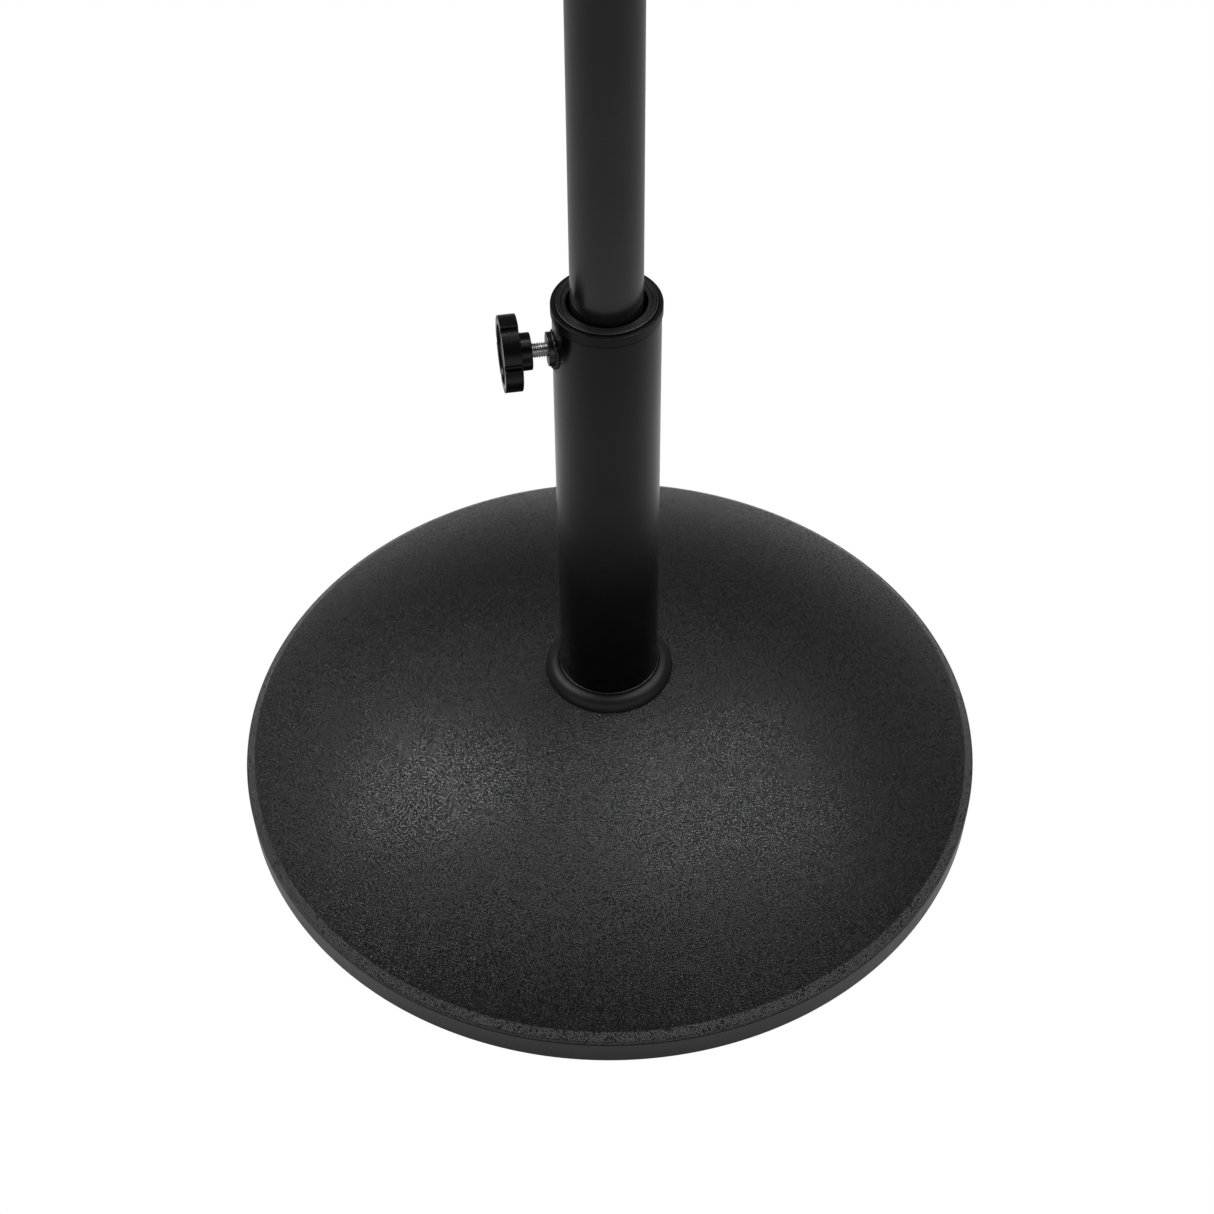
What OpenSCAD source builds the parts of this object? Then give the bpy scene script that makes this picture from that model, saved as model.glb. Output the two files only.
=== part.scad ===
// Round weighted umbrella base: a concrete-filled plastic dome with a steel tube, which holds
// the lower pole of a patio umbrella and clamps it with a star knob.
// The axis of the tube is Z, and the feet stand on z = 0. The clamping screw points along -X.

/* [Base] */
// Diameter of the base at its parting line
base_d = 444; // [424:2:464]
// Height of the parting line between the tray and the dome
parting_h = 17.6; // [16:0.2:19]
// Height at which the dome meets the sloping band
rim_h = 23.6; // [23:0.2:25]
// Height of the flat seat under the collar
seat_h = 84.5; // [80:0.5:90]
// Wall of the dome and of the tray
skin_t = 2.5; // [2:0.1:3]
// Gap between the skirt of the tray and the floor
floor_gap = 0.8; // [0.4:0.1:1.2]

/* [Collar] */
// Radius of the rounded shoulder of the collar
collar_round = 7.6; // [6:0.1:9]
// Height by which the seal stands above the collar
seal_proud = 0.7; // [0.4:0.1:1.5]

/* [Base tube] */
// Outer diameter of the base tube
tube_d = 57; // [56:0.5:58]
// Wall of the base tube
tube_t = 1.5; // [1.4:0.1:1.6]
// Height of the socket floor on which the tube stands
socket_h = 60; // [56:1:64]
// Height of the upper end of the tube
tube_top = 358.7; // [340:0.1:380]

/* [Cap and reducer] */
// Height of the rim of the cap ring above the tube
cap_h = 6.3; // [6:0.1:7]
// Bore of the reducer
reducer_bore_d = 42; // [41:0.2:43]
// Length of the reducer sleeve below the rim of the cap
reducer_len = 21; // [19:0.5:22]

/* [Clamping screw] */
// Height of the screw axis below the upper end of the tube
screw_drop = 21; // [20.6:0.1:22.5]
// Major diameter of the clamping screw
screw_d = 8; // [8, 10]
// Diameter of the bush where it passes through the tube wall
bush_neck_d = 14; // [13:0.5:15]
// Diameter of the head of the bush, outside the tube
bush_head_d = 18; // [17:0.5:19]
// Diameter of the star knob
knob_d = 40.6; // [40:0.2:44]
// Thickness of the star
star_t = 9.5; // [9:0.5:11]
// Number of lobes on the star
lobes = 6; // [5:1:8]
// Radius of the notch between two lobes
notch_r = 1.7; // [1.5:0.1:2.5]

/* [Umbrella pole] */
// Outer diameter of the pole
pole_d = 38.1; // [37.9:0.1:38.3]
// Wall of the pole
pole_t = 1.2; // [1:0.1:1.5]
// Height of the upper end of the pole
pole_top = 1075; // [800:5:1200]
// Length of the coupling spigot above the pole
spigot_len = 60; // [40:5:80]

/* [Feet] */
// Number of rubber feet
feet = 5; // [4:1:6]
// Diameter of a foot
foot_d = 26; // [20:1:30]
// Radius of the circle of feet
foot_circle_r = 185; // [150:5:190]

/* [Hidden] */
$fn = 128;
eps = 0.01;

// Colours
shell_black = [0.10, 0.10, 0.105];
plastic_black = [0.07, 0.07, 0.075];
coat_black = [0.06, 0.06, 0.065];
pole_grey = [0.15, 0.15, 0.16];
rubber_black = [0.05, 0.05, 0.05];
zinc = [0.72, 0.72, 0.74];
concrete_grey = [0.55, 0.54, 0.51];
nylon = [0.85, 0.84, 0.80];

// Clearances
part_gap = 0.3;      // between pieces that are put together by hand
weld_gap = 0.05;     // between a screw or plug and its own hole
run_gap = 0.05;      // radial running clearance of a shaft that turns

// Base
base_r = base_d / 2;
skirt_r = base_r - 0.6;
lip_round = 2;
lip_z = parting_h + 0.3;
rim_r = base_r - 5.2;
tongue_r = base_r - skin_t - 0.6;
tongue_len = 6.5;
floor_z = 3;
floor_top = floor_z + skin_t;
cup_r = 36;
cup_z = 19.5;
rib_count = 10;
rib_w = 2;
rib_drop = 1.5;

// Sphere of the dome, through the rim and the edge of the seat
collar_r = tube_d / 2 + 1.4 + collar_round;
dome_c = (collar_r * collar_r + seat_h * seat_h - rim_r * rim_r - rim_h * rim_h)
         / (2 * (seat_h - rim_h));
dome_r = norm([collar_r, seat_h - dome_c]);
dome_steps = 28;

// Collar and seal
collar_bore_r = tube_d / 2 + 1.1;
skirt_out_r = collar_bore_r + 3.6;
skirt_z = seat_h - 8.5;
seal_t = 0.8;

// Tube, its floor plate and the anchor screw below it
tube_r = tube_d / 2;
tube_bore_r = tube_r - tube_t;
plate_z = socket_h + 4;
plate_t = 5;
plate_top = plate_z + plate_t;
anchor_r = 5;
anchor_washer_r = 28;
anchor_washer_t = 3;
lock_washer_t = 2.4;
anchor_head_h = 6.4;
anchor_head_af = 16;
anchor_end = plate_top + 3;
washer_z = cup_z - anchor_washer_t;
lock_washer_z = washer_z - lock_washer_t;
anchor_head_z = lock_washer_z - anchor_head_h;

// Cap ring and reducer
cap_top = tube_top + cap_h;
cap_r = tube_r + 0.7;
cap_spigot_len = 13;
cap_bore_r = tube_bore_r - 1.8;
cap_seat_z = cap_top - 2.3;
cap_seat_r = tube_bore_r - 0.1;
cap_round = 0.6;
reducer_top = cap_top + 1.2;
reducer_step_r = tube_bore_r - 3.3;
reducer_step = 0.3;
bore_chamfer = 0.5;

// Clamping screw: distances from the axis of the tube, measured outwards
screw_z = tube_top - screw_drop;
screw_r = screw_d / 2;
bush_neck_r = bush_neck_d / 2;
bush_head_r = bush_head_d / 2;
bush_in = tube_r - 3;
bush_out = tube_r + 3.1;
weld_layers = [[bush_head_r + 1.7, 0.9], [bush_head_r + 0.8, 1.9]];   // radius, height on the tube
tip_r = screw_r - 1;
tip_in = pole_d / 2 + 0.15;
tip_out = tip_in + 6.8;
screw_in = tip_in + 1.5;
hub_r = 10;
hub_in = bush_out + 8.4;
hub_len = 6.3;
star_in = hub_in + hub_len;
star_out = star_in + star_t;
head_in = star_in + 1.2;
head_h = 5.3;
head_af = 13;
face_recess = 1.5;
face_recess_r = knob_d / 2 - 4.3;
knob_cap_r = 8.2;
notch_centre = knob_d / 2 - 0.9;
lobe_turn = -43;

// Pole
pole_r = pole_d / 2;
pole_bore_r = pole_r - pole_t;
foot_plug_z = plate_top + 0.1;
foot_flange_t = 3;
pole_z = foot_plug_z + foot_flange_t + 0.1;
plug_len = 20;
plug_hole_r = 8;
coupler_r = pole_bore_r - 0.15;
coupler_t = 1.8;
coupler_depth = 60;
spigot_r = coupler_r - 0.6;
spigot_end = 2;
rivet_z = pole_top - 30;
rivet_r = 2.4;
rivet_head_r = 4.5;
rivet_head_h = 1.4;

// Points of an arc in the half plane of a turned profile
function arc(c, r, from, to, n = 12) =
    [for (i = [0:n]) let (a = from + (to - from) * i / n) [c[0] + r * cos(a), c[1] + r * sin(a)]];

// Dome surface of radius r about the centre of the dome, from radius r_out in to radius r_in
function dome(r, r_out, r_in) = arc([0, dome_c], r, acos(r_out / r), acos(r_in / r), dome_steps);

module ring(r_in, r_out, z0, z1) {
    difference() {
        translate([0, 0, z0]) cylinder(r = r_out, h = z1 - z0);
        translate([0, 0, z0 - 1]) cylinder(r = r_in, h = z1 - z0 + 2);
    }
}

module turned(points) {
    rotate_extrude() polygon(points);
}

// Puts a shape that is drawn along +Z on the screw axis, pointing outwards along -X
module on_screw_axis() {
    translate([0, 0, screw_z]) rotate([0, -90, 0]) children();
}

module at_feet() {
    for (i = [0:feet - 1]) rotate(90 + 360 / feet * i) translate([foot_circle_r, 0, 0]) children();
}

module hex_prism(af, z0, z1) {
    translate([0, 0, z0]) cylinder(d = af / cos(30), h = z1 - z0, $fn = 6);
}

module bottom_tray() {
    color(plastic_black) {
        difference() {
            turned([[anchor_r + 0.5, cup_z], [cup_r, cup_z], [cup_r, floor_z],
                    [skirt_r - skin_t, floor_z], [skirt_r - skin_t, floor_gap],
                    [skirt_r - 0.8, floor_gap], [skirt_r, floor_gap + 0.8],
                    [base_r, parting_h - 0.2], [base_r - skin_t, parting_h - 0.2],
                    [base_r - skin_t, floor_top], [cup_r + skin_t, floor_top],
                    [cup_r + skin_t, cup_z + skin_t], [anchor_r + 0.5, cup_z + skin_t]]);
            at_feet() translate([0, 0, floor_z - 1]) cylinder(r = 3.1, h = skin_t + 2);
        }
        tray_ribs();
    }
}

module tray_ribs() {
    step = 360 / rib_count;
    difference() {
        for (i = [0:rib_count - 1])
            rotate(90 + step * (i + 0.5))
                translate([cup_r + 4, -rib_w / 2, floor_z - rib_drop])
                    cube([skirt_r - cup_r - skin_t - 3.5, rib_w, rib_drop + eps]);
        at_feet() cylinder(r = foot_d / 2 + 2, h = floor_z);
    }
}

module rubber_feet() {
    color(rubber_black) at_feet() {
        cylinder(r1 = foot_d / 2 - 0.8, r2 = foot_d / 2, h = 0.8);
        translate([0, 0, 0.8]) cylinder(r = foot_d / 2, h = floor_z - 0.8);
        cylinder(r = 3, h = floor_top + 0.2);
        translate([0, 0, floor_top + 0.1]) cylinder(r1 = 4.2, r2 = 2.6, h = 2.6);
    }
}

module concrete_ballast() {
    top_r = skirt_out_r + 0.8;
    color(concrete_grey) difference() {
        turned(concat([[anchor_r + 0.5, cup_z + skin_t + part_gap],
                       [cup_r + skin_t + 0.5, cup_z + skin_t + part_gap],
                       [cup_r + skin_t + 0.5, floor_top + part_gap],
                       [tongue_r - skin_t - 0.1, floor_top + part_gap],
                       [tongue_r - skin_t - 0.1, rim_h - 4.1]],
                      dome(dome_r - skin_t - part_gap, rim_r - 3.3, top_r),
                      [[top_r, skirt_z - part_gap], [tube_r + part_gap, skirt_z - part_gap],
                       [tube_r + part_gap, socket_h], [anchor_r + 0.5, socket_h]]));
        at_feet() cylinder(r = 4.8, h = floor_top + 3.6);
    }
}

module base_shell() {
    lip_c = [base_r - lip_round, lip_z];
    color(shell_black)
        turned(concat([[skirt_out_r + part_gap, seat_h - skin_t], [skirt_out_r + part_gap, seat_h]],
                      dome(dome_r, collar_r, rim_r),
                      arc(lip_c, lip_round, 46, 0, 6),
                      [[tongue_r, lip_z], [tongue_r, lip_z - tongue_len],
                       [tongue_r - skin_t + 0.3, lip_z - tongue_len],
                       [tongue_r - skin_t + 0.3, rim_h - 3.6]],
                      dome(dome_r - skin_t, rim_r - 2.8, collar_r)));
}

module base_collar() {
    color(plastic_black)
        turned(concat([[collar_bore_r, skirt_z], [skirt_out_r, skirt_z], [skirt_out_r, seat_h]],
                      arc([tube_r + 1.4, seat_h], collar_round, 0, 90),
                      [[collar_bore_r, seat_h + collar_round - 0.1]]));
}

module tube_seal() {
    top = seat_h + collar_round + seal_proud;
    color(rubber_black)
        turned(concat([[tube_r + weld_gap, skirt_z], [tube_r + seal_t, skirt_z]],
                      arc([tube_r + (seal_t + weld_gap) / 2, top - seal_t / 2],
                          (seal_t - weld_gap) / 2, 0, 180, 8)));
}

module base_tube() {
    color(coat_black) difference() {
        ring(tube_bore_r, tube_r, socket_h, tube_top);
        on_screw_axis() translate([0, 0, bush_in - 1]) cylinder(r = bush_neck_r + weld_gap, h = 10);
    }
}

module tube_floor_plate() {
    color(coat_black) ring(anchor_r + weld_gap, tube_bore_r, plate_z, plate_top);
}

module anchor_bolt() {
    color(zinc) {
        hex_prism(anchor_head_af, anchor_head_z, lock_washer_z);
        translate([0, 0, lock_washer_z - eps]) cylinder(r = anchor_r, h = anchor_end - lock_washer_z - 1);
        translate([0, 0, anchor_end - 1 - eps]) cylinder(r1 = anchor_r, r2 = anchor_r - 1, h = 1);
    }
}

module anchor_lock_washer() {
    color(zinc) difference() {
        ring(anchor_r + 0.2, 9, lock_washer_z, washer_z);
        rotate(20) translate([anchor_r - 1, -0.8, lock_washer_z - 1]) cube([6, 1.6, lock_washer_t + 2]);
    }
}

module anchor_washer() {
    color(zinc) ring(anchor_r + 0.5, anchor_washer_r, washer_z, cup_z);
}

module cap_ring() {
    spigot_r = tube_bore_r - 0.1;
    color(plastic_black)
        turned(concat([[cap_bore_r, tube_top - cap_spigot_len], [spigot_r - 0.6, tube_top - cap_spigot_len],
                       [spigot_r, tube_top - cap_spigot_len + 1.5], [spigot_r, tube_top],
                       [cap_r, tube_top]],
                      arc([cap_r - cap_round, cap_top - cap_round], cap_round, 0, 90, 6),
                      [[cap_seat_r, cap_top], [cap_seat_r, cap_seat_z], [cap_bore_r, cap_seat_z]]));
}

module reducer_sleeve() {
    bore_r = reducer_bore_d / 2;
    head_r = cap_seat_r - part_gap;
    low_top = reducer_top - reducer_step;
    color(plastic_black)
        turned([[bore_r, cap_top - reducer_len], [cap_bore_r - part_gap - 0.8, cap_top - reducer_len],
                [cap_bore_r - part_gap, cap_top - reducer_len + 2],
                [cap_bore_r - part_gap, cap_seat_z + 0.1],
                [head_r, cap_seat_z + 0.1], [head_r, reducer_top - 0.4], [head_r - 0.4, reducer_top],
                [reducer_step_r, reducer_top], [reducer_step_r, low_top],
                [bore_r + bore_chamfer, low_top], [bore_r, low_top - bore_chamfer]]);
}

// Cylinder about the tube's axis, beside the screw
module tube_core(r) {
    translate([0, 0, screw_z - 15]) cylinder(r = r, h = 30);
}

module clamp_bush() {
    color(coat_black) {
        on_screw_axis() ring(screw_r + run_gap, bush_neck_r, bush_in, bush_out);
        difference() {
            on_screw_axis() ring(bush_neck_r - eps, bush_head_r, tube_r - 3, bush_out);
            tube_core(tube_r);
        }
    }
}

module weld_bead() {
    color(coat_black) for (layer = weld_layers)
        difference() {
            intersection() {
                on_screw_axis() ring(bush_head_r + eps, layer[0], tube_r - 5, tube_r + 5);
                tube_core(tube_r + layer[1]);
            }
            tube_core(tube_r);
        }
}

module screw_tip() {
    color(nylon) on_screw_axis() {
        translate([0, 0, tip_in]) cylinder(r1 = tip_r - 0.6, r2 = tip_r, h = 0.6);
        translate([0, 0, tip_in + 0.6]) cylinder(r = tip_r, h = tip_out - tip_in - 0.6);
    }
}

module clamp_screw() {
    color(zinc) on_screw_axis() difference() {
        union() {
            translate([0, 0, screw_in]) cylinder(r1 = screw_r - 0.6, r2 = screw_r, h = 0.6);
            translate([0, 0, screw_in + 0.6]) cylinder(r = screw_r, h = head_in - screw_in - 0.6 + eps);
            hex_prism(head_af, head_in, head_in + head_h);
        }
        translate([0, 0, screw_in - 1]) cylinder(r = tip_r + run_gap, h = tip_out - screw_in + 1.2);
    }
}

module star_outline() {
    difference() {
        circle(d = knob_d);
        for (i = [0:lobes - 1])
            rotate(lobe_turn + 360 / lobes * (i + 0.5))
                translate([notch_centre, 0])
                    circle(r = notch_r);
    }
}

module star_knob() {
    color(plastic_black) on_screw_axis() difference() {
        union() {
            translate([0, 0, hub_in]) cylinder(r = hub_r, h = hub_len + 1);
            translate([0, 0, star_in]) linear_extrude(star_t) star_outline();
        }
        translate([0, 0, hub_in - 1]) cylinder(r = screw_r + weld_gap, h = star_t + hub_len);
        hex_prism(head_af + 2 * weld_gap, head_in, head_in + head_h + eps);
        translate([0, 0, head_in + head_h]) cylinder(r = knob_cap_r + weld_gap, h = star_t);
        translate([0, 0, star_out - face_recess]) cylinder(r = face_recess_r, h = star_t);
    }
}

module knob_cap() {
    color(plastic_black) on_screw_axis()
        translate([0, 0, head_in + head_h + 0.1])
            cylinder(r = knob_cap_r, h = star_out - face_recess - head_in - head_h - 0.1);
}

module pole_foot_plug() {
    color(plastic_black) {
        ring(plug_hole_r, pole_r, foot_plug_z, foot_plug_z + foot_flange_t);
        ring(pole_bore_r - 3, pole_bore_r - run_gap, foot_plug_z + foot_flange_t - eps, pole_z + plug_len);
    }
}

module rivet_holes(r) {
    for (side = [-1, 1])
        translate([0, 0, rivet_z]) rotate([side * 90, 0, 0]) cylinder(r = r, h = pole_r + 1);
}

module lower_pole() {
    color(pole_grey) difference() {
        ring(pole_bore_r, pole_r, pole_z, pole_top);
        rivet_holes(rivet_r);
    }
}

module pole_coupler() {
    color(zinc) difference() {
        turned([[coupler_r - coupler_t, pole_top - coupler_depth],
                [coupler_r, pole_top - coupler_depth], [coupler_r, pole_top],
                [spigot_r, pole_top + 1], [spigot_r, pole_top + spigot_len - spigot_end],
                [spigot_r - 0.7, pole_top + spigot_len],
                [coupler_r - coupler_t, pole_top + spigot_len]]);
        rivet_holes(rivet_r);
    }
}

module coupler_rivets() {
    shank_len = pole_r - coupler_r + coupler_t + 1.5;
    color(zinc) for (side = [-1, 1])
        translate([0, 0, rivet_z]) rotate([side * 90, 0, 0]) {
            translate([0, 0, pole_r - shank_len]) cylinder(r = rivet_r - weld_gap, h = shank_len + 0.5);
            translate([0, 0, pole_r + 0.05])
                cylinder(r1 = rivet_head_r, r2 = rivet_head_r - 1.6, h = rivet_head_h);
        }
}

bottom_tray();
rubber_feet();
concrete_ballast();
base_shell();
base_collar();
tube_seal();
base_tube();
tube_floor_plate();
anchor_bolt();
anchor_lock_washer();
anchor_washer();
cap_ring();
reducer_sleeve();
clamp_bush();
weld_bead();
screw_tip();
clamp_screw();
star_knob();
knob_cap();
pole_foot_plug();
lower_pole();
pole_coupler();
coupler_rivets();
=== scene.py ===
"""Looks of the round umbrella base and its lower pole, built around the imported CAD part.

Profiles are written in millimetres and turned into metres when a mesh is made."""
import math
import random

import bmesh
import bpy
from mathutils import Matrix, Vector, noise


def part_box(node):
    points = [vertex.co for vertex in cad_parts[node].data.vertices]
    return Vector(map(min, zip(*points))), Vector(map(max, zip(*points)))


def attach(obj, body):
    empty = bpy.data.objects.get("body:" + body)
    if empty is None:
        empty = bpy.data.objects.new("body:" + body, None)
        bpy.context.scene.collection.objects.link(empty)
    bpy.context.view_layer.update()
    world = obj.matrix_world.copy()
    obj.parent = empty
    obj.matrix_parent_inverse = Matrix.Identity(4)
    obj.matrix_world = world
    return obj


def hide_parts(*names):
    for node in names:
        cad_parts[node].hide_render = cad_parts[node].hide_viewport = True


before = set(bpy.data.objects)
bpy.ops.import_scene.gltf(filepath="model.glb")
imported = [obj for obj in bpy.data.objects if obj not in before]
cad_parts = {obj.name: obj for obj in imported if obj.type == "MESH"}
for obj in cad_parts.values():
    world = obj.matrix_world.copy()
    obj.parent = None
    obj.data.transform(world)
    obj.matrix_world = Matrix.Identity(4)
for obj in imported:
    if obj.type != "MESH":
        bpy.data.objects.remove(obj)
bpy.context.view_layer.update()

MM = 0.001
SEGMENTS = 256


# ---------------------------------------------------------------- sizes in millimetres

class Span:
    """Outer radius and height range of a round CAD node about the pole's axis, in millimetres."""

    def __init__(self, node):
        low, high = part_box(node)
        self.r = high.x / MM
        self.z0 = low.z / MM
        self.z1 = high.z / MM


class Reach:
    """Radius and reach of a CAD node about the clamping screw's axis, outwards along -X, in millimetres."""

    def __init__(self, node):
        low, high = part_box(node)
        self.r = (high.z - low.z) / 2 / MM
        self.t0 = -high.x / MM
        self.t1 = -low.x / MM


shell = Span("base_shell")
tray = Span("bottom_tray")
collar = Span("base_collar")
seal = Span("tube_seal")
tube = Span("base_tube")
cap = Span("cap_ring")
reducer = Span("reducer_sleeve")
pole = Span("lower_pole")
coupler = Span("pole_coupler")
bush = Reach("clamp_bush")
screw = Reach("clamp_screw")
star = Reach("star_knob")
knob_disc = Reach("knob_cap")
bush_low, bush_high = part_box("clamp_bush")
screw_z = (bush_low.z + bush_high.z) / 2 / MM

# Wall of the dome and the tray, and the radius of the flat seat under the collar
SKIN = 2.5
SEAT_R = 37.5
# Where the dome meets the sloping band round the rim
RIM_R = shell.r - 5.2
RIM_Z = shell.z1 - 60.9
# Lower edge of the lip under the band, above the parting line
LIP_Z = shell.z0 + 6.5
# Feet on a circle under the tray
FOOT_ANGLES = [90 + 72 * i for i in range(5)]
FOOT_CIRCLE = 185
# Bush's neck in the tube's wall, the thread's pitch, and where the thread ends along the screw
NECK_R = 7
PITCH = 1.25
THREAD_END = 47.5


# ---------------------------------------------------------------- mesh tools

def arc(centre_r, centre_z, radius, start, end, steps=6):
    """Points of an arc in a profile, angles in degrees from the +r direction."""
    points = []
    for i in range(steps + 1):
        a = math.radians(start + (end - start) * i / steps)
        points.append((centre_r + radius * math.cos(a), centre_z + radius * math.sin(a)))
    return points


def rounded(corners, closed=True, steps=4):
    """Profile through corners (r, z, fillet radius), each corner rounded by its own radius."""
    points = []
    count = len(corners)
    for i, corner in enumerate(corners):
        here = Vector(corner[:2])
        radius = corner[2] if len(corner) > 2 else 0
        if radius == 0 or (not closed and i in (0, count - 1)):
            points.append(tuple(here))
            continue
        before = Vector(corners[i - 1][:2]) - here
        after = Vector(corners[(i + 1) % count][:2]) - here
        half = before.angle(after) / 2
        cut = min(radius / math.tan(half), 0.49 * before.length, 0.49 * after.length)
        radius = cut * math.tan(half)
        start = here + before.normalized() * cut
        end = here + after.normalized() * cut
        middle = here + (before.normalized() + after.normalized()).normalized() * (radius / math.sin(half))
        a, b = start - middle, end - middle
        turn = a.angle_signed(b)
        for k in range(steps + 1):
            c, s = math.cos(-turn * k / steps), math.sin(-turn * k / steps)
            points.append(tuple(middle + Vector((a.x * c - a.y * s, a.x * s + a.y * c))))
    return points


def make_object(name, bm, smooth=True):
    """Object from a bmesh in millimetres, normals outwards, shaded smooth with weighted normals."""
    bmesh.ops.recalc_face_normals(bm, faces=bm.faces)
    bmesh.ops.scale(bm, vec=(MM, MM, MM), verts=bm.verts)
    mesh = bpy.data.meshes.new(name)
    bm.to_mesh(mesh)
    bm.free()
    obj = bpy.data.objects.new(name, mesh)
    bpy.context.scene.collection.objects.link(obj)
    if smooth:
        mesh.shade_smooth()
        weighted = obj.modifiers.new("weighted", "WEIGHTED_NORMAL")
        weighted.keep_sharp = True
        weighted.weight = 80
    return obj


def skin(bm, rings, closed=True, matrix=None):
    """Faces between rings of points; a ring of one point is a tip, and closed joins the last to the first."""
    made = []
    for ring in rings:
        points = [Vector(p) for p in ring]
        if matrix is not None:
            points = [matrix @ p for p in points]
        made.append([bm.verts.new(p) for p in points])
    pairs = list(zip(made, made[1:]))
    if closed:
        pairs.append((made[-1], made[0]))
    for a, b in pairs:
        count = max(len(a), len(b))
        for i in range(count):
            j = (i + 1) % count
            if len(a) == 1:
                bm.faces.new((a[0], b[i], b[j]))
            elif len(b) == 1:
                bm.faces.new((a[i], a[j], b[0]))
            else:
                bm.faces.new((a[i], a[j], b[j], b[i]))


def circle(r, z, segments):
    if r < 1e-6:
        return [(0, 0, z)]
    return [(r * math.cos(2 * math.pi * i / segments), r * math.sin(2 * math.pi * i / segments), z)
            for i in range(segments)]


def turn(bm, profile, segments=SEGMENTS, closed=True, matrix=None):
    """Turned solid: a closed profile off the axis, or an open one that starts and ends on it."""
    skin(bm, [circle(r, z, segments) for r, z in profile], closed, matrix)


def cylinder(bm, r, low, high, segments, matrix=None):
    """Plain solid cylinder, for cutting."""
    turn(bm, [(0, low), (r, low), (r, high), (0, high)], segments, False, matrix)


def turned(name, profile, segments=SEGMENTS, closed=True, matrix=None):
    bm = bmesh.new()
    turn(bm, profile, segments, closed, matrix)
    return make_object(name, bm)


def apply_modifiers(obj):
    """Bakes the modifiers added so far, such as booleans, into the mesh."""
    graph = bpy.context.evaluated_depsgraph_get()
    mesh = bpy.data.meshes.new_from_object(obj.evaluated_get(graph))
    old = obj.data
    obj.modifiers.clear()
    obj.data = mesh
    bpy.data.meshes.remove(old)


def combine(obj, tool, operation):
    """Boolean of obj with the object tool, which is removed."""
    weighted = obj.modifiers.get("weighted")
    if weighted:
        obj.modifiers.remove(weighted)
    cut = obj.modifiers.new("combine", "BOOLEAN")
    cut.operation = operation
    cut.solver = "EXACT"
    cut.object = tool
    bpy.context.view_layer.update()
    apply_modifiers(obj)
    bpy.data.objects.remove(tool)
    obj.data.shade_smooth()
    obj.data.set_sharp_from_angle(angle=math.radians(32))
    weighted = obj.modifiers.new("weighted", "WEIGHTED_NORMAL")
    weighted.keep_sharp = True
    return obj


# Local z is the distance out from the pole's axis along -X, local x is up, local y is along +Y
on_screw = Matrix(((0, 0, -1, 0), (0, 1, 0, 0), (1, 0, 0, screw_z), (0, 0, 0, 1)))


# ---------------------------------------------------------------- materials

class Nodes:
    """Short names for building a node tree."""

    def __init__(self, name):
        self.material = bpy.data.materials.new(name)
        self.material.use_nodes = True
        self.tree = self.material.node_tree
        self.shader = self.tree.nodes["Principled BSDF"]
        self.place = self.add("ShaderNodeTexCoord").outputs["Object"]

    def add(self, kind, **settings):
        node = self.tree.nodes.new(kind)
        for key, value in settings.items():
            setattr(node, key, value)
        return node

    def link(self, a, b):
        self.tree.links.new(a, b)

    def noise(self, size_mm, detail=3, rough=0.5, stretch=None):
        """Noise whose features are about size_mm across."""
        node = self.add("ShaderNodeTexNoise")
        node.inputs["Scale"].default_value = 1 / (size_mm * MM)
        node.inputs["Detail"].default_value = detail
        node.inputs["Roughness"].default_value = rough
        source = self.place
        if stretch:
            mapping = self.add("ShaderNodeMapping")
            mapping.inputs["Scale"].default_value = stretch
            self.link(source, mapping.inputs["Vector"])
            source = mapping.outputs["Vector"]
        self.link(source, node.inputs["Vector"])
        return node.outputs["Fac"]

    def remap(self, value, low, high, out_low, out_high):
        node = self.add("ShaderNodeMapRange")
        node.clamp = True
        self.link(value, node.inputs["Value"])
        for key, number in (("From Min", low), ("From Max", high), ("To Min", out_low), ("To Max", out_high)):
            node.inputs[key].default_value = number
        return node.outputs["Result"]

    def maths(self, operation, a, b):
        node = self.add("ShaderNodeMath", operation=operation)
        for socket, value in zip(node.inputs, (a, b)):
            if isinstance(value, (int, float)):
                socket.default_value = value
            else:
                self.link(value, socket)
        return node.outputs[0]

    def blend(self, factor, a, b):
        node = self.add("ShaderNodeMix", data_type="RGBA")
        self.link(factor, node.inputs["Factor"])
        for key, value in (("A", a), ("B", b)):
            socket = next(s for s in node.inputs if s.name == key and s.type == "RGBA")
            if isinstance(value, tuple):
                socket.default_value = (*value, 1)
            else:
                self.link(value, socket)
        return next(s for s in node.outputs if s.type == "RGBA")

    def bump(self, height, strength, depth_mm, below=None):
        node = self.add("ShaderNodeBump")
        node.inputs["Strength"].default_value = strength
        node.inputs["Distance"].default_value = depth_mm * MM
        self.link(height, node.inputs["Height"])
        if below is not None:
            self.link(below, node.inputs["Normal"])
        return node.outputs["Normal"]

    def done(self, colour=None, roughness=None, normal=None, **constants):
        if colour is not None:
            self.link(colour, self.shader.inputs["Base Color"])
        if roughness is not None:
            self.link(roughness, self.shader.inputs["Roughness"])
        if normal is not None:
            self.link(normal, self.shader.inputs["Normal"])
        for key, value in constants.items():
            self.shader.inputs[key.replace("_", " ")].default_value = value
        return self.material


def grey(value, warm=0.0):
    return (value * (1 + warm), value, value * (1 - warm))


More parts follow.
